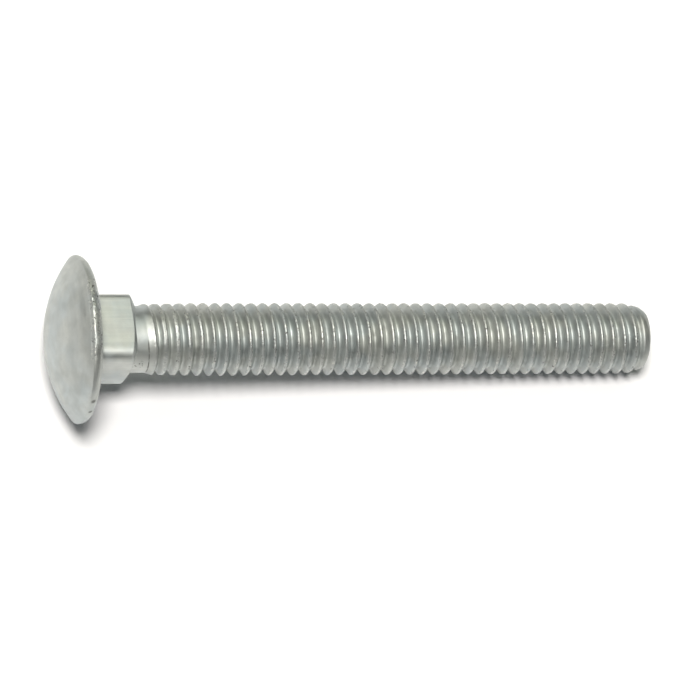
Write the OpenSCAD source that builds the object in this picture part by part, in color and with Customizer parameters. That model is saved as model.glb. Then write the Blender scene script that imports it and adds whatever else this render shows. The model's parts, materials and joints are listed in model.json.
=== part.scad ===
// Carriage bolt: a low domed head, a square neck, a short plain body and a rolled
// thread that runs to a chamfered point. One forged piece, lying as it comes to rest,
// on the rim of its head and the last full crest of its thread.
// Lengths are in millimetres. The head is at -X, the point at +X, the floor at z = 0.

/* [Head] */
// Diameter of the head over its rim
head_d = 21.4; // [16:0.1:30]
// Height of the dome above the bearing face
head_h = 4.9; // [3.5:0.1:8]
// Radius of the rim's edge on the dome side
rim_top_r = 0.3; // [0.1:0.05:0.6]
// Radius of the rim's fuller edge on the underside
rim_under_r = 1.1; // [0.5:0.05:1.5]

/* [Neck] */
// Width of the square neck across its flats
neck_w = 9.1; // [8.8:0.1:12]
// Length of the neck from the bearing face to where its corners start to fall away
neck_l = 5.2; // [2:0.1:9]
// Radius of the neck's four long corners
neck_corner_r = 1.1; // [0.3:0.1:2]
// Length over which the corners slope down to the body
neck_slope_l = 0.7; // [0.3:0.1:2]
// Turn of the neck about the bolt's axis, in degrees
neck_turn = -6; // [-45:1:45]

/* [Shank] */
// Length from the bearing face to the point
shank_l = 75.3; // [40:0.1:110]
// Diameter of the plain body between the neck and the thread
body_d = 8.5; // [7.8:0.1:9]
// Length of the plain body, from the end of the neck to the first full crest
body_l = 2; // [1:0.1:20]
// Diameter of the flat end at the point
tip_d = 7.9; // [5:0.1:8.5]
// Length of the chamfer at the point
tip_l = 2.4; // [0.5:0.1:3]

/* [Thread] */
// Diameter over the crests of the thread
thread_d = 9.3; // [9.1:0.05:10]
// Pitch of the thread, one turn to the next
thread_pitch = 1.5875; // [1.25:0.0125:1.75]
// Turn of the thread about the bolt's axis, in degrees
thread_turn = 295; // [0:5:355]

/* [Hidden] */
$fn = 96;

// A rolled inch thread has 60 degree flanks, and its depth is 5/8 of the sharp height
flank_angle = 30;
thread_depth = 5 / 8 * thread_pitch / (2 * tan(flank_angle));
root_flat = thread_pitch / 8;
// The groove's cutter reaches this far past the crests, and this far past the point
groove_over = 0.25;
past_tip = 1.5 * thread_pitch;
// The groove runs out towards the neck over this many turns
runout_turns = 1;
turn_steps = 20;

crest_r = thread_d / 2;
root_r = crest_r - thread_depth;
body_r = body_d / 2;
neck_end = neck_l + neck_slope_l;
thread_start = neck_end + body_l;
last_crest = shank_l - tip_l;
// The body swells to the thread over half a pitch
swell_l = thread_pitch / 2;

// The rim's two edges meet at its widest circle, and the dome runs tangent into the upper one
rim_top_ring = head_d / 2 - rim_top_r;
rim_under_ring = head_d / 2 - rim_under_r;
cap_h = head_h - rim_under_r - rim_top_r;
dome_r = (pow(cap_h, 2) + pow(rim_top_ring, 2)) / (2 * cap_h) + rim_top_r;
dome_x = dome_r - head_h;

// Lying down: the floor touches the rim's lower edge and the last full crest
rest_run = last_crest + rim_under_r;
rest_drop = rim_under_ring - crest_r;
rest_tilt = atan(rest_drop / rest_run) + asin(rim_under_r / norm([rest_run, rest_drop]));
axis_z = rim_under_r + rim_under_ring * cos(rest_tilt) - rim_under_r * sin(rest_tilt);
box_x0 = dome_x * cos(rest_tilt) - dome_r;
box_x1 = shank_l * cos(rest_tilt) + tip_d / 2 * sin(rest_tilt);

// Turns +Z shapes to run along the bolt's axis, +X
module along_axis(x = 0) translate([x, 0, 0]) rotate([0, 90, 0]) children();

// A round bar on the axis from x0 to x1, straight or tapered
module bar(r, x0, x1) along_axis(x0) cylinder(r = r, h = x1 - x0);
module taper(r0, r1, x0, x1) along_axis(x0) cylinder(r1 = r0, r2 = r1, h = x1 - x0);

// The head: a ball cut to a disc whose rim is rounded little above and fully below
module head() {
  intersection() {
    translate([dome_x, 0, 0]) sphere(r = dome_r, $fn = 160);
    union() {
      bar(rim_under_ring, -head_h, 0);
      bar(rim_top_ring, -head_h, -rim_under_r);
      rim_edge(rim_top_ring, rim_top_r);
      intersection() {
        rim_edge(rim_under_ring, rim_under_r);
        bar(head_d, -rim_under_r, 0);
      }
    }
  }
}

module rim_edge(ring_r, edge_r)
  along_axis(-rim_under_r) rotate_extrude() translate([ring_r, 0]) circle(r = edge_r, $fn = 32);

// The neck: a square bar with round corners, its end sloping down to the body all round
module neck() {
  corner = neck_w / 2 - neck_corner_r;
  corner_reach = corner * sqrt(2) + neck_corner_r;
  rotate([neck_turn, 0, 0]) intersection() {
    union() {
      translate([0, -corner, -neck_w / 2]) cube([neck_end, 2 * corner, neck_w]);
      translate([0, -neck_w / 2, -corner]) cube([neck_end, neck_w, 2 * corner]);
      for (y = [-corner, corner], z = [-corner, corner])
        translate([0, y, z]) along_axis() cylinder(r = neck_corner_r, h = neck_end, $fn = 32);
    }
    union() {
      bar(corner_reach + 1, -1, neck_l);
      taper(corner_reach, body_r, neck_l, neck_end);
    }
  }
}

// One section of the groove: root flat, flanks, and a back that clears the crests
function groove_section(angle, x, lift) = let (
    r0 = root_r + lift,
    r1 = crest_r + groove_over + lift,
    half0 = root_flat / 2,
    half1 = half0 + (r1 - r0) * tan(flank_angle)
  ) [
    for (p = [[-half0, r0], [-half1, r1], [half1, r1], [half0, r0]])
      [x + p[0], p[1] * cos(angle), p[1] * sin(angle)]
  ];

// The right-hand groove as one closed solid, from its run-out at the neck to past the point
module thread_groove() {
  steps = ceil((shank_l + past_tip - thread_start) / thread_pitch * turn_steps);
  runout = runout_turns * turn_steps;
  points = [
    for (i = [0 : steps])
      each groove_section(
        thread_turn + 360 * i / turn_steps,
        thread_start + thread_pitch * i / turn_steps,
        max(0, 1 - i / runout) * thread_depth
      )
  ];
  sides = [
    for (i = [0 : steps - 1], k = [0 : 3])
      let (a = 4 * i + k, b = 4 * i + (k + 1) % 4)
        each [[a, b, b + 4], [a, b + 4, a + 4]]
  ];
  last = 4 * steps;
  polyhedron(points, concat(sides, [[3, 2, 1, 0]], [[last, last + 1, last + 2, last + 3]]));
}

// The shank: plain body, thread blank and chamfered point, with the thread cut in
module shank() {
  difference() {
    union() {
      bar(body_r, 0, thread_start);
      taper(body_r, crest_r, thread_start - swell_l, thread_start);
      bar(crest_r, thread_start, last_crest);
      taper(crest_r, tip_d / 2, last_crest, shank_l);
    }
    thread_groove();
  }
}

module bolt() {
  color("#a9aea6")
    translate([-(box_x0 + box_x1) / 2, 0, axis_z])
      rotate([0, rest_tilt, 0]) {
        head();
        neck();
        shank();
      }
}

bolt();
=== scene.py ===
import math

import bmesh
import bpy
from mathutils import Matrix, Vector, noise
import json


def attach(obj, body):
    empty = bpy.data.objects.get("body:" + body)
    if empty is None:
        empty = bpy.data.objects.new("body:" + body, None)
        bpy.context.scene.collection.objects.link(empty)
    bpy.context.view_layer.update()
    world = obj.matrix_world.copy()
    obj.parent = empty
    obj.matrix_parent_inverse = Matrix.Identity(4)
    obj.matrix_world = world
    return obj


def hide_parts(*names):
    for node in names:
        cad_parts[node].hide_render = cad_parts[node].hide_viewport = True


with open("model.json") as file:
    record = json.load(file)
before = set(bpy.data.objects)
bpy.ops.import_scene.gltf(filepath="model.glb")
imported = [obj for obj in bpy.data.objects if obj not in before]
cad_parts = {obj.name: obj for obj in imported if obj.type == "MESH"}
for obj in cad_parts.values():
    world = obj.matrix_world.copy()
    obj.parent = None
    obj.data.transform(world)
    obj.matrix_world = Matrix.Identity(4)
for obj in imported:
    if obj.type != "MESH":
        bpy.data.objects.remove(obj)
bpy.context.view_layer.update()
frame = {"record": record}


# --- The lie of the bolt ---------------------------------------------------------------
# The bolt is one cold-forged piece of steel. It lies on the rim of its head and on the last
# full crest of its thread, so its axis falls a little towards the point. Everything is made
# along that axis, in metres from the bearing face, and laid down at the end.
MM = 0.001
mounts = {mount["name"]: mount for mount in frame["record"]["mounts"]}
neck_root = Vector(mounts["square_neck"]["pos_m"])
axis = Vector(mounts["square_neck"]["axis"]).normalized()
sideways = Vector((0, 1, 0))
upward = axis.cross(sideways)
lie = Matrix((axis, sideways, upward)).transposed().to_4x4()
lie.translation = neck_root


# --- Head ------------------------------------------------------------------------------
# A low dome upset from the bar in one blow. It rolls over a small edge into a thin brim,
# and the brim's underside is fuller, because there the die lets the steel flow.
head_r = 10.7 * MM
head_h = 4.9 * MM
rim_top_r = 0.3 * MM
rim_under_r = 1.1 * MM
top_ring = head_r - rim_top_r
under_ring = head_r - rim_under_r
cap_h = head_h - rim_under_r - rim_top_r
dome_r = (cap_h ** 2 + top_ring ** 2) / (2 * cap_h) + rim_top_r
dome_edge = math.asin(top_ring / (dome_r - rim_top_r))

steps_round = 120                      # facets round the shank, with twice as many on the head
neck_turn = math.radians(-6)           # a flat of the square neck faces this way
head_angles = [neck_turn + math.pi * k / steps_round for k in range(2 * steps_round)]
shell = bmesh.new()
rings = []


def add_ring(stations, angles):
    """One closed ring of the bolt's skin: a station (along, out) for each angle."""
    ring = [shell.verts.new((along, out * math.cos(a), out * math.sin(a)))
            for (along, out), a in zip(stations, angles)]
    last = rings[-1] if rings else []
    for k in range(len(ring) if last else 0):
        n = (k + 1) % len(ring)
        if len(last) == len(ring):
            shell.faces.new((last[k], last[n], ring[n], ring[k]))
        else:
            before, between_them, after = last[2 * k], last[2 * k + 1], last[2 * n]
            shell.faces.new((before, between_them, ring[k]))
            shell.faces.new((between_them, ring[n], ring[k]))
            shell.faces.new((between_them, after, ring[n]))
    rings.append(ring)


def add_round(along, out):
    add_ring([(along, out)] * len(head_angles), head_angles)


dome_rings, edge_rings, under_rings = 26, 6, 11
for i in range(1, dome_rings + 1):
    a = dome_edge * i / dome_rings
    add_round(dome_r - head_h - dome_r * math.cos(a), dome_r * math.sin(a))
apex = shell.verts.new((-head_h, 0, 0))
for k in range(len(head_angles)):
    shell.faces.new((apex, rings[0][(k + 1) % len(head_angles)], rings[0][k]))
for i in range(1, edge_rings + 1):
    a = dome_edge + (math.pi / 2 - dome_edge) * i / edge_rings
    add_round(-rim_under_r - rim_top_r * math.cos(a), top_ring + rim_top_r * math.sin(a))
for i in range(1, under_rings + 1):
    a = math.pi / 2 * i / under_rings
    add_round(-rim_under_r + rim_under_r * math.sin(a), under_ring + rim_under_r * math.cos(a))


# --- Square neck -----------------------------------------------------------------------
# The die under the head squares the bar, so that the bolt bites into wood and can't turn.
# Its long corners stay round, and each is pushed back to the body on a slope of its own.
neck_half = 9.1 / 2 * MM
root_fillet = 0.35 * MM
body_r = 8.5 / 2 * MM
flat_ends = (5.43 * MM, 5.62 * MM)     # the step from a flat down to the body
corners = [                            # struck unevenly: radius, slope's start and slope's end
    (0.95 * MM, 5.35 * MM, 6.24 * MM), (1.45 * MM, 5.0 * MM, 5.8 * MM),
    (1.1 * MM, 5.1 * MM, 5.9 * MM), (1.1 * MM, 5.2 * MM, 6.0 * MM)]
slope_narrowing = 2.2                  # the higher, the closer a slope keeps to its corner
shoulder_soft, foot_soft = 0.25, 0.2   # how softly a slope begins and ends, in shares of it
slope_from, slope_to = 4.3 * MM, 6.5 * MM
body_seam = 6.6 * MM                   # the plain body goes over into the thread's own mesh here
corner_crowding = 0.15                 # draws the facets towards the round corners
ring_angles = head_angles[::2]


def from_flat(a):
    """The angle from the middle of the nearest flat, within an eighth of a turn."""
    return (a - neck_turn + math.pi / 4) % (math.pi / 2) - math.pi / 4


def corner_near(a):
    return corners[int((a - neck_turn) % math.tau // (math.pi / 2))]


def square_out(a):
    """How far the square bar reaches at an angle."""
    b = abs(from_flat(a))
    corner_r = corner_near(a)[0]
    corner_at = neck_half - corner_r
    if neck_half * math.tan(b) <= corner_at:
        return neck_half / math.cos(b)
    across = math.pi / 4 - b
    centre = corner_at * math.sqrt(2)
    return centre * math.cos(across) + math.sqrt(corner_r ** 2 - (centre * math.sin(across)) ** 2)


def soft_min(a, b, soft):
    h = max(soft - abs(a - b), 0) / soft
    return min(a, b) - h * h * soft / 4


def neck_out(along, a):
    """The neck's reach: the square, cut by the step and the corner's slope, down to the body."""
    b = abs(from_flat(a))
    cornered = (b / (math.pi / 4)) ** slope_narrowing
    slope = corner_near(a)[1:]
    starts, ends = (flat + (end - flat) * cornered for flat, end in zip(flat_ends, slope))
    fall = (along - starts) / (ends - starts)
    left = -soft_min(-soft_min(1, 1 - fall, shoulder_soft), 0, foot_soft)
    return body_r + (square_out(a) - body_r) * left


neck_angles = [a + corner_crowding * math.sin(4 * from_flat(a)) for a in ring_angles]

under_flat_rings, fillet_rings, flat_rings, slope_rings, body_rings = 5, 6, 9, 48, 2
for i in range(1, under_flat_rings + 1):
    t = i / under_flat_rings
    add_ring(
        [(0, under_ring * (1 - t) + (square_out(b) + root_fillet) * t) for b in neck_angles],
        [a * (1 - t) + b * t for a, b in zip(ring_angles, neck_angles)])
for i in range(1, fillet_rings + 1):
    t = math.pi / 2 * i / fillet_rings
    add_ring([(root_fillet * (1 - math.cos(t)), square_out(b) + root_fillet * (1 - math.sin(t)))
              for b in neck_angles], neck_angles)
for i in range(1, flat_rings + 1):
    neck_along = root_fillet + (slope_from - root_fillet) * i / flat_rings
    add_ring([(neck_along, neck_out(neck_along, b)) for b in neck_angles], neck_angles)
for i in range(1, slope_rings + 1):
    neck_along = slope_from + (slope_to - slope_from) * i / slope_rings
    add_ring([(neck_along, neck_out(neck_along, b)) for b in neck_angles], neck_angles)
for i in range(1, body_rings + 1):
    t = i / body_rings
    add_ring([(slope_to + (body_seam - slope_to) * t, body_r)] * steps_round,
             [b * (1 - t) + a * t for a, b in zip(ring_angles, neck_angles)])


# --- Thread ----------------------------------------------------------------------------
# A right-hand coarse thread, 16 turns to the inch, rolled into the bar between two dies, so
# its roots and crests are round. It fades into the body below the neck. One long strip follows
# the groove, and its turns are merged along their edges.
thread_sizes = {
    "Pitch": 1.5875 * MM,
    "Crest radius": 4.65 * MM,
    "Crest rounding": 0.27 * MM,
    "Root rounding": 0.245 * MM,
    "Groove start": 7.9 * MM,
    "Groove turn": math.radians(295),
    "Body radius": body_r,
    "Body end": body_seam,
    "Swell start": 7.25 * MM,
    "Swell lean": 0.5 * MM,
    "Swell latest at": math.radians(198),
    "Swell length": 0.9 * MM,
    "First crest radius": 4.455 * MM,
    "Groove deepens over": 1.2 * MM,
    "Crests fill over": 9.0 * MM,
    "Left to deepen": 0.2 * MM,
    "Blunt edge": 0.2 * MM,
    "Point": 75.3 * MM,
    "Chamfer length": 2.4 * MM,
    "Point radius": 3.95 * MM,
    "Edge rounding": 0.45 * MM,
    "First angle": neck_turn,
}
strip_points = 12                      # facets across one groove, root to root
groove_turns = 44                      # enough to go from the seam on the body to the point
spare_turns = 2                        # the strip begins and ends this much beyond them
strip_steps = (groove_turns + 2 * spare_turns) * steps_round
crowding = 0.35                        # draws the facets towards root and crest
merge_gap = 0.001 * MM                 # points this close to each other become one

tree = bpy.data.node_groups.new("rolled_thread", "GeometryNodeTree")
nodes, links = tree.nodes, tree.links
sockets = {}
for name in thread_sizes:
    sockets[name] = tree.interface.new_socket(name, in_out="INPUT", socket_type="NodeSocketFloat")
sockets["Plating"] = tree.interface.new_socket(
    "Plating", in_out="INPUT", socket_type="NodeSocketMaterial")
tree.interface.new_socket("Thread", in_out="OUTPUT", socket_type="NodeSocketGeometry")
sizes_in = nodes.new("NodeGroupInput").outputs


def work_out(operation, *values):
    """One Math node of the thread's tree."""
    node = nodes.new("ShaderNodeMath")
    node.operation = operation
    for socket, value in zip(node.inputs, values):
        if isinstance(value, (int, float)):
            socket.default_value = value
        else:
            links.new(value, socket)
    return node.outputs[0]


def add(a, b):
    return work_out("ADD", a, b)


def less(a, b):
    return work_out("SUBTRACT", a, b)


def times(a, b):
    return work_out("MULTIPLY", a, b)


def over(a, b):
    return work_out("DIVIDE", a, b)


def lowest(a, b):
    return work_out("MINIMUM", a, b)


def highest(a, b):
    return work_out("MAXIMUM", a, b)


def root(a):
    return work_out("SQRT", highest(a, 0))


def fade_in(a):
    """A share from 0 to 1 that starts and stops gently."""
    return times(times(a, a), less(3, times(a, 2)))


def share_of(a, whole):
    return lowest(highest(over(a, whole), 0), 1)


root_3 = math.sqrt(3)                  # the slope of a 60 degree thread's flanks
pitch, crest_r = sizes_in["Pitch"], sizes_in["Crest radius"]
root_round, crest_round = sizes_in["Root rounding"], sizes_in["Crest rounding"]

grid = nodes.new("GeometryNodeMeshGrid")
for side, count in (("X", strip_steps), ("Y", strip_points)):
    grid.inputs["Size " + side].default_value = count
    grid.inputs["Vertices " + side].default_value = count + 1
on_grid = nodes.new("ShaderNodeSeparateXYZ")
links.new(nodes.new("GeometryNodeInputPosition").outputs[0], on_grid.inputs[0])
step = work_out("ROUND", add(on_grid.outputs["X"], strip_steps / 2))
across = over(work_out("ROUND", add(on_grid.outputs["Y"], strip_points / 2)), strip_points)
across = less(across, times(work_out("SINE", times(across, 4 * math.pi)), crowding / 4 / math.pi))

# Where each point of the strip lies: its angle, and its place along the axis
angle = add(sizes_in["First angle"],
            times(less(step, spare_turns * steps_round), math.tau / steps_round))
turns = over(less(angle, sizes_in["Groove turn"]), math.tau)
strip_along = add(sizes_in["Groove start"], times(pitch, add(turns, across)))
strip_along = lowest(highest(strip_along, sizes_in["Body end"]), sizes_in["Point"])

# How high the section stands there: round root, straight flank, round crest
since = less(over(less(strip_along, sizes_in["Groove start"]), pitch), turns)
from_root = times(work_out("ABSOLUTE", less(since, work_out("ROUND", since))), pitch)
from_crest = less(over(pitch, 2), from_root)
root_edge, crest_edge = times(root_round, root_3 / 2), times(crest_round, root_3 / 2)
in_root, on_crest = lowest(from_root, root_edge), lowest(from_crest, crest_edge)
bowl = less(root_round, root(less(times(root_round, root_round), times(in_root, in_root))))
flank_from = lowest(highest(from_root, root_edge), less(over(pitch, 2), crest_edge))
flank = times(less(flank_from, root_edge), root_3)
arch = less(root(less(times(crest_round, crest_round), times(on_crest, on_crest))),
            over(crest_round, 2))
depth = less(less(times(pitch, root_3 / 2), root_round), crest_round)
threaded = add(add(less(crest_r, depth), bowl), add(flank, arch))

# The body swells to the first crest, sooner on one side than on the other. The groove deepens
# within a turn, but six crests stay broad and blunt, because the steel doesn't fill the die yet
blunt_end = 8                          # the higher, the later the last blunt crests sharpen
smooth_min_loss = 6                    # a smooth minimum of two like values is blend / 6 too low
swell_start = add(sizes_in["Swell start"], times(sizes_in["Swell lean"], work_out(
    "COSINE", less(angle, sizes_in["Swell latest at"]))))
into_swell = less(strip_along, swell_start)
first_crest, blunt_edge = sizes_in["First crest radius"], sizes_in["Blunt edge"]
swell = fade_in(share_of(into_swell, sizes_in["Swell length"]))
filled = share_of(into_swell, sizes_in["Crests fill over"])
rise = add(times(filled, less(crest_r, first_crest)),
           times(work_out("POWER", filled, blunt_end), blunt_edge))
first_rise = add(less(first_crest, sizes_in["Body radius"]), over(blunt_edge, smooth_min_loss))
level = add(sizes_in["Body radius"], add(times(swell, first_rise), rise))
deepened = share_of(into_swell, sizes_in["Groove deepens over"])
lift = add(times(less(1, deepened), depth), times(less(1, filled), sizes_in["Left to deepen"]))
rolled_out = work_out("SMOOTH_MIN", add(threaded, lift), level, blunt_edge)

# The chamfer and the round end edge cut it back at the point
chamfer_edge = 0.12 * MM               # how round a crest is where the chamfer cuts it
to_point = less(sizes_in["Point"], strip_along)
chamfer = add(sizes_in["Point radius"], times(over(to_point, sizes_in["Chamfer length"]),
                                              less(crest_r, sizes_in["Point radius"])))
edge = sizes_in["Edge rounding"]
into_edge = highest(less(edge, to_point), 0)
chamfer = less(chamfer, less(edge, root(less(times(edge, edge), times(into_edge, into_edge)))))
strip_out = work_out("SMOOTH_MIN", rolled_out, chamfer, chamfer_edge)

where = nodes.new("ShaderNodeCombineXYZ")
links.new(strip_along, where.inputs["X"])
links.new(times(strip_out, work_out("COSINE", angle)), where.inputs["Y"])
links.new(times(strip_out, work_out("SINE", angle)), where.inputs["Z"])
move = nodes.new("GeometryNodeSetPosition")
merge = nodes.new("GeometryNodeMergeByDistance")
merge.inputs["Distance"].default_value = merge_gap
realize = nodes.new("GeometryNodeRealizeInstances")
plate = nodes.new("GeometryNodeSetMaterial")
result = nodes.new("NodeGroupOutput")
links.new(where.outputs[0], move.inputs["Position"])
links.new(sizes_in["Plating"], plate.inputs["Material"])
chain = [grid, move, merge, realize, plate, result]
for maker, taker in zip(chain, chain[1:]):
    links.new(maker.outputs[0], taker.inputs[0])

zinc = bpy.data.materials.new("satin_zinc_plate")
zinc.use_nodes = True

thread = bpy.data.objects.new("thread_strip", bpy.data.meshes.new("thread_strip"))
bpy.context.scene.collection.objects.link(thread)
rolled = thread.modifiers.new("rolled_thread", "NODES")
rolled.node_group = tree
for name, value in thread_sizes.items():
    rolled[sockets[name].identifier] = value
rolled[sockets["Plating"].identifier] = zinc
graph = bpy.context.evaluated_depsgraph_get()
thread_mesh = bpy.data.meshes.new_from_object(thread.evaluated_get(graph), depsgraph=graph)
bpy.data.objects.remove(thread)


# --- Joining and the point -------------------------------------------------------------
# The bar is sheared to length and its end chamfered before rolling, so the point is a flat
# disc, drawn in a little at the middle. Here head, neck, body and thread become one skin.
point_at = thread_sizes["Point"]
point_slack = 0.01 * MM
dish = 0.25 * MM
end_rings = (0.97, 0.92, 0.84, 0.7, 0.55, 0.4, 0.25, 0.12)     # in shares of the end's radius

shell.from_mesh(thread_mesh)
bmesh.ops.remove_doubles(shell, verts=shell.verts, dist=merge_gap)
end_edges = [e for e in shell.edges if e.is_boundary]
end_verts = {v for e in end_edges for v in e.verts}
open_elsewhere = [v for v in end_verts if abs(v.co.x - point_at) > point_slack]
assert not open_elsewhere, f"{len(open_elsewhere)} open points away from the point"
around = sorted(end_verts, key=lambda v: math.atan2(v.co.z, v.co.y))
last_ring = around
for share in end_rings:
    drawn_in = dish * (1 - share ** 2) ** 2
    ring = [shell.verts.new((point_at - drawn_in, v.co.y * share, v.co.z * share)) for v in around]
    for k in range(len(around)):
        n = (k + 1) % len(around)
        shell.faces.new((last_ring[k], last_ring[n], ring[n], ring[k]))
    last_ring = ring
centre = shell.verts.new((point_at - dish, 0, 0))
for k in range(len(around)):
    shell.faces.new((last_ring[k], last_ring[(k + 1) % len(around)], centre))
bmesh.ops.recalc_face_normals(shell, faces=shell.faces)

# Nothing forged is quite true: a head a degree out of square, slow waves over head and neck,
# small knocks on the rim, and crests that fill the die more here and less there. Heights are in
# mm, and each has so many patches to a millimetre
skew, skew_way = math.radians(1.0), math.radians(198)
skew_fades_over = 3 * MM
slow_wave, slow_per_mm = 0.025, 0.3
small_wave, small_per_mm = 0.008, 0.9
waves_set_in = 0.012                   # keeps the waves within the die's size
rim_from = 9.5                         # the rim's part farther out than this is knocked
knock, knock_per_mm, knock_least = 0.09, 0.8, 0.15
top_knock, top_knock_per_mm, top_knock_more = 0.12, 1.3, 0.1
top_from, top_span = 0.85, 0.15        # more so at the top, from this share of upright to 1
crests_from, crests_out = 8, 4.3       # the thread's part beyond both has uneven crests
crest_wave, crest_per_mm, crest_set_in = 0.03, 1.2, 0.3
shell.normal_update()
for v in shell.verts:
    at = v.co / MM
    out_mm = math.hypot(at.y, at.z)
    wave = (slow_wave * noise.noise(at * slow_per_mm)
            + small_wave * noise.noise(at * small_per_mm) - waves_set_in)
    if out_mm > rim_from:
        wave -= knock * max(noise.noise(at * knock_per_mm) - knock_least, 0)
        on_top = max(at.z / out_mm - top_from, 0)
        wave -= (top_knock * on_top / top_span
                 * max(noise.noise(at * top_knock_per_mm) + top_knock_more, 0))
    if at.x > crests_from and out_mm > crests_out:
        wave += crest_wave * (noise.noise(at * crest_per_mm) - crest_set_in)
    on_head = min(max(1 - v.co.x / skew_fades_over, 0), 1)
    leaning = v.co.y * math.cos(skew_way) + v.co.z * math.sin(skew_way)
    v.co += v.normal * wave * MM
    v.co.x += math.tan(skew) * leaning * on_head

skin = bpy.data.meshes.new("forged_bolt")
shell.to_mesh(skin)
shell.free()
skin.transform(lie)
skin.shade_smooth()
skin.materials.append(zinc)
bolt = bpy.data.objects.new("forged_bolt", skin)
bpy.context.scene.collection.objects.link(bolt)
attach(bolt, "root")
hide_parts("bolt")


# --- Zinc plate ------------------------------------------------------------------------
# A thin satin coat of electroplated zinc, a cool grey with warmer patches. Tumbled in a
# barrel with its fellows, the bolt is rubbed bright on crests and rim and has fine pits and
# white flecks there, the flecks partly painted glints, while the roots of the thread hold a
# little grime.
cool_grey, warm_grey = (0.492, 0.528, 0.53, 1), (0.545, 0.562, 0.538, 1)
dull_grey, thread_grey = (0.44, 0.46, 0.45, 1), (0.3, 0.31, 0.3, 1)
drawn_grey, rubbed_grey = (0.64, 0.65, 0.62, 1), (0.66, 0.67, 0.64, 1)
grime = (0.2, 0.205, 0.19, 1)
fleck_and_glint_white, pit_black = (0.86, 0.84, 0.78, 1), (0.09, 0.088, 0.08, 1)
coat = zinc.node_tree


def shade(kind, sockets, **settings):
    """One node of the plate's shader, with its sockets linked or set."""
    node = coat.nodes.new("ShaderNode" + kind)
    for key, value in settings.items():
        setattr(node, key, value)
    for key, value in sockets.items():
        if isinstance(value, bpy.types.NodeSocket):
            coat.links.new(value, node.inputs[key])
        else:
            node.inputs[key].default_value = value
    return node.outputs


def reckon(operation, *values):
    return shade("Math", dict(enumerate(values)), operation=operation)[0]


def both(a, b):
    """One share of another."""
    return reckon("MULTIPLY", a, b)


def either(a, b):
    return reckon("MAXIMUM", a, b)


def apart(a, b):
    return reckon("ABSOLUTE", reckon("SUBTRACT", a, b))


def between(value, low, high, out_low=0.0, out_high=1.0):
    """A smooth rise from one level to another as the value goes from low to high."""
    return shade("MapRange", {"Value": value, "From Min": low, "From Max": high,
                              "To Min": out_low, "To Max": out_high},
                 interpolation_type="SMOOTHSTEP")[0]


def blend(share, first, second):
    return shade("Mix", {0: share, 6: first, 7: second}, data_type="RGBA")[2]


# Places on the bolt in its own millimetres: along the axis, and out from it
stood = lie.inverted()
in_mm = shade("Mapping", {
    "Vector": shade("TexCoord", {})["Object"], "Scale": (1 / MM,) * 3,
    "Rotation": stood.to_euler(), "Location": stood.translation / MM})[0]
along, out_y, out_z = shade("SeparateXYZ", {"Vector": in_mm})
out = reckon("SQRT", reckon("ADD", both(out_y, out_y), both(out_z, out_z)))


def towards(degrees):
    """1 on the side of the bolt that faces this angle, down to -1 on the other side."""
    a = math.radians(degrees)
    return reckon("DIVIDE", reckon("ADD", both(out_y, math.cos(a)), both(out_z, math.sin(a))), out)


def near(point, reach):
    """1 at a point of the bolt, fading to 0 at its reach."""
    gap = shade("VectorMath", {0: in_mm, 1: point}, operation="DISTANCE")["Value"]
    return between(gap, reach, reach * 0.4)


def cloud(per_mm, detail=2.0, stretch=(1, 1, 1)):
    """A noise pattern over the bolt, with so many patches to a millimetre."""
    at = shade("Mapping", {"Vector": in_mm, "Scale": stretch})[0]
    return shade("TexNoise", {"Vector": at, "Scale": per_mm, "Detail": detail})[0]


# Each place has the millimetre where it begins and the one from which it is full
thread_along, neck_along_from, neck_along_to = (7.0, 8.2), (0.0, 0.3), (5.6, 5.2)
crest_out, root_out = (4.32, 4.6), (4.15, 3.85)
rim_out, rim_along, dome_along = (9.95, 10.35), (-2.0, -1.3), (-1.0, -1.6)
on_thread = between(along, *thread_along)
crests = both(on_thread, between(out, *crest_out))
roots = both(on_thread, between(out, *root_out))
rim = both(between(out, *rim_out), between(along, *rim_along))
knocked = both(rim, between(towards(90), 0.8, 0.93, 0.05, 1.0))
upper_chip, upper_chip_r = (-0.7, -9.49, 4.5), 0.45
lower_chip, lower_chip_r = (-0.7, -10.2, 2.49), 0.4
chips = either(near(upper_chip, upper_chip_r), near(lower_chip, lower_chip_r))
dented_at, dented_r = (6.3, -3.91, 1.66), 0.9
point_dents_at, point_dents_reach = 73.3, (0.5, 0.15)
point_band = both(between(towards(98), 0.84, 0.96),
                  between(apart(along, point_dents_at), *point_dents_reach))
late_side = towards(198)               # where the swell starts latest, with a crease before it
# A thin crease before the swell: a shallow bump, with its shade painted dark along it
crease_from, crease_lean, crease_reach = 7.2, 0.5, (0.12, 0.03)
crease_at = reckon("ADD", both(late_side, crease_lean), crease_from)
crease_shade = between(apart(along, crease_at), *crease_reach)
crease_shade = both(crease_shade, between(late_side, -0.05, 0.2))
crease_shade = both(crease_shade, between(cloud(1.1), 0.3, 0.55, 0.3, 1.0))

# Colour: cool and warm greys in patches, drawing marks along the neck, rubbed crests, grime
warm_patch = between(cloud(0.22), 0.38, 0.62)
zinc_grey = blend(warm_patch, cool_grey, warm_grey)
dull_patch = between(cloud(0.9, detail=3.0), 0.35, 0.7)
zinc_grey = blend(both(dull_patch, 0.35), zinc_grey, dull_grey)
on_neck = both(between(along, *neck_along_from), between(along, *neck_along_to))
drawn = both(between(cloud(1.0, stretch=(0.12, 3.2, 3.2)), 0.42, 0.66), on_neck)
zinc_grey = blend(both(drawn, 0.3), zinc_grey, drawn_grey)
upset = between(cloud(1.0, stretch=(1.7, 0.14, 0.14)), 0.4, 0.6)
upset = both(upset, between(along, *dome_along))
zinc_grey = blend(both(upset, 0.45), zinc_grey, dull_grey)
rubbed = both(crests, between(cloud(1.4), 0.4, 0.6))
zinc_grey = blend(both(rubbed, 0.3), zinc_grey, rubbed_grey)
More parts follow.
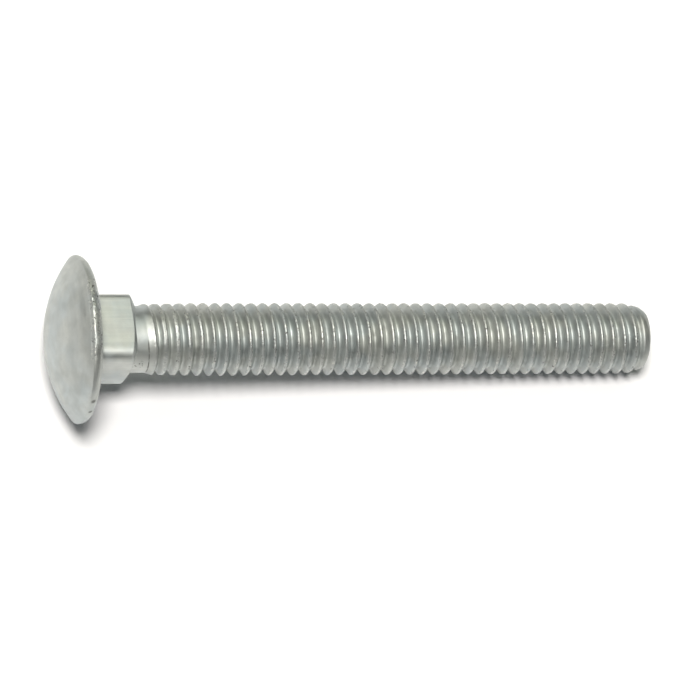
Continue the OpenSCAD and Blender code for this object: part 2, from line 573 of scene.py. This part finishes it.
zinc_grey = blend(both(on_thread, 0.12), zinc_grey, thread_grey)
grimy = both(roots, between(cloud(0.7, detail=3.0), 0.45, 0.7))
zinc_grey = blend(both(grimy, 0.3), zinc_grey, grime)

# Pits on crests and rim, with white flecks that are partly painted glints, dents on the body and
# by the point, and the crease with its shade painted dark along it
worn = either(both(crests, between(cloud(0.4), 0.36, 0.64, 0.3, 1.0)), knocked)
grain = cloud(3.6, detail=1.0)
pits = both(between(grain, 0.62, 0.7), worn)
# White flecks on worn crests and rim: partly rubbed spots, partly painted glints
flecks_and_glints = both(between(grain, 0.38, 0.3), worn)
zinc_grey = blend(both(flecks_and_glints, 0.7), zinc_grey, fleck_and_glint_white)
dents = either(near(dented_at, dented_r), point_band)
dots = shade("TexVoronoi", {"Vector": in_mm, "Scale": 3.0})["Distance"]
dents = either(both(dents, between(dots, 0.34, 0.2)), both(chips, 0.75))
pits = either(either(pits, dents), both(crease_shade, 0.8))
zinc_grey = blend(both(pits, 0.85), zinc_grey, pit_black)

# Roughness: satin, uneven from patch to patch, smoother where it is rubbed
satin_from, satin_to = 0.47, 0.62
roughness = between(cloud(0.6, detail=3.0), 0.3, 0.7, satin_from, satin_to)
roughness = reckon("ADD", roughness, both(on_thread, 0.02))
roughness = reckon("SUBTRACT", roughness, both(rubbed, 0.06))
roughness = reckon("ADD", roughness, both(either(grimy, pits), 0.15))

# Bump, in mm: the plate's own fine grain, a rougher rim, the pits, and soft unevenness
grain_height, worn_height, pit_depth, uneven_height = 0.008, 0.1, 0.03, 0.02
relief = both(cloud(2.2, detail=4.0), between(worn, 0.0, 1.0, grain_height, worn_height))
relief = reckon("SUBTRACT", relief, both(pits, pit_depth))
relief = reckon("ADD", relief, both(cloud(0.5), uneven_height))
bumped = shade("Bump", {"Height": relief, "Strength": 1.0, "Distance": MM})[0]

skin_shader = coat.nodes["Principled BSDF"]
skin_shader.inputs["Metallic"].default_value = 1.0
for socket, value in (("Base Color", zinc_grey), ("Roughness", roughness), ("Normal", bumped)):
    coat.links.new(value, skin_shader.inputs[socket])


# --- Floor -----------------------------------------------------------------------------
# The bolt lies on a plain sheet of matt white paper, which runs on far beyond the picture, so
# that no edge of it shows.
floor_half = 1.5
paper_white = (0.9, 0.9, 0.93, 1)
floor_mesh = bpy.data.meshes.new("floor")
floor_mesh.from_pydata(
    [(x * floor_half, y * floor_half, 0) for x, y in ((-1, -1), (1, -1), (1, 1), (-1, 1))],
    [], [(0, 1, 2, 3)])
floor = bpy.data.objects.new("floor", floor_mesh)
bpy.context.scene.collection.objects.link(floor)
paper = bpy.data.materials.new("white_sheet")
paper.use_nodes = True
sheet = paper.node_tree.nodes["Principled BSDF"]
sheet.inputs["Base Color"].default_value = paper_white
sheet.inputs["Roughness"].default_value = 1.0
sheet.inputs["Specular IOR Level"].default_value = 0.0
floor_mesh.materials.append(paper)


# --- Light -----------------------------------------------------------------------------
# Plain studio light from four soft boxes: a key almost overhead, a wide dimmer one behind the
# bolt, and weak ones off its head and in front of it. The room round them is nearly dark.
lit_place = neck_root + axis * 36 * MM
lamp_far = 1.2
room_colour, room_light = (0.85, 1, 1, 1), 0.02


def soft_box(name, lean_x, lean_y, along, across, watts, colour):
    """A lamp that hangs over the bolt, leaning from the vertical by two angles."""
    lamp = bpy.data.lights.new(name, "AREA")
    lamp.shape = "RECTANGLE"
    lamp.size, lamp.size_y = along, across
    lamp.energy = watts
    lamp.color = colour
    hung = bpy.data.objects.new(name, lamp)
    bpy.context.scene.collection.objects.link(hung)
    lean = Vector((math.tan(math.radians(lean_x)), math.tan(math.radians(lean_y)), 1))
    lean.normalize()
    side = sideways.cross(lean).normalized()
    facing = Matrix((side, lean.cross(side), lean)).transposed().to_4x4()
    hung_at = Vector((lit_place.x, lit_place.y, 0)) + lean * lamp_far
    hung.matrix_world = Matrix.Translation(hung_at) @ facing


soft_box("key", lean_x=-10, lean_y=-3, along=0.28, across=0.32,
         watts=15.2, colour=(1, 0.97, 0.915))
soft_box("behind", lean_x=0, lean_y=31, along=1.6, across=0.62,
         watts=4.4, colour=(0.96, 1, 0.825))
soft_box("left", lean_x=-48, lean_y=0, along=0.7, across=0.6,
         watts=1.1, colour=(1, 1, 1))
soft_box("front", lean_x=0, lean_y=-45, along=1.6, across=0.5,
         watts=0.5, colour=(0.86, 0.98, 1))
room = bpy.data.worlds.new("pale_room")
room.use_nodes = True
bpy.context.scene.world = room
room.node_tree.nodes["Background"].inputs["Color"].default_value = room_colour
room.node_tree.nodes["Background"].inputs["Strength"].default_value = room_light


# --- Camera ----------------------------------------------------------------------------
# It stands half a metre off, high over the bolt's side and turned a little to its head, with
# a long lens.
view_height = math.radians(72)         # above the horizon, seen along the bolt
view_turn = math.radians(17.34)        # the point lies this much farther off than the head
view_roll = -0.003
picture = 700                          # pixels across, and down
sensor = 36                            # mm across
aim_at = 38.1 * MM                     # this place on the axis is seen at aim_x, aim_y
aim_x, aim_y = 372.09 - picture / 2, 338.94 - picture / 2
far_off = 520.57 * MM                  # and is this far off
pixels_a_metre = 7741.0                # at that distance
nearest_seen = 0.01

out_up = (sideways * -math.cos(view_height) + upward * math.sin(view_height)).normalized()
down = axis.cross(out_up)
seen_axis = Vector((math.cos(view_turn) * math.cos(view_roll), math.sin(view_roll),
                    math.sin(view_turn) * math.cos(view_roll)))
seen_down = seen_axis.cross(Vector((0, 0, 1))).normalized()
if seen_down.y < 0:
    seen_down = -seen_down
seen_out = seen_axis.cross(seen_down)
if seen_out.z > 0:
    seen_out = -seen_out
in_row = Matrix((axis, down, out_up)).transposed()
in_view = Matrix((seen_axis, seen_down, seen_out)).transposed()
turn = in_row @ in_view.transposed()   # from the picture's right, down, ahead to the row's axes
ray = Vector((aim_x / pixels_a_metre, aim_y / pixels_a_metre, far_off))
eye = neck_root + axis * aim_at - turn @ ray
right, below, ahead_way = turn.col
lens = bpy.data.cameras.new("camera")
lens.sensor_width = sensor
lens.lens = pixels_a_metre * far_off / picture * sensor
lens.clip_start = nearest_seen
camera = bpy.data.objects.new("camera", lens)
bpy.context.scene.collection.objects.link(camera)
camera.matrix_world = Matrix.Translation(eye) @ Matrix(
    (right, -below, -ahead_way)).transposed().to_4x4()
bpy.context.scene.camera = camera
bpy.context.scene.view_settings.view_transform = "Standard"
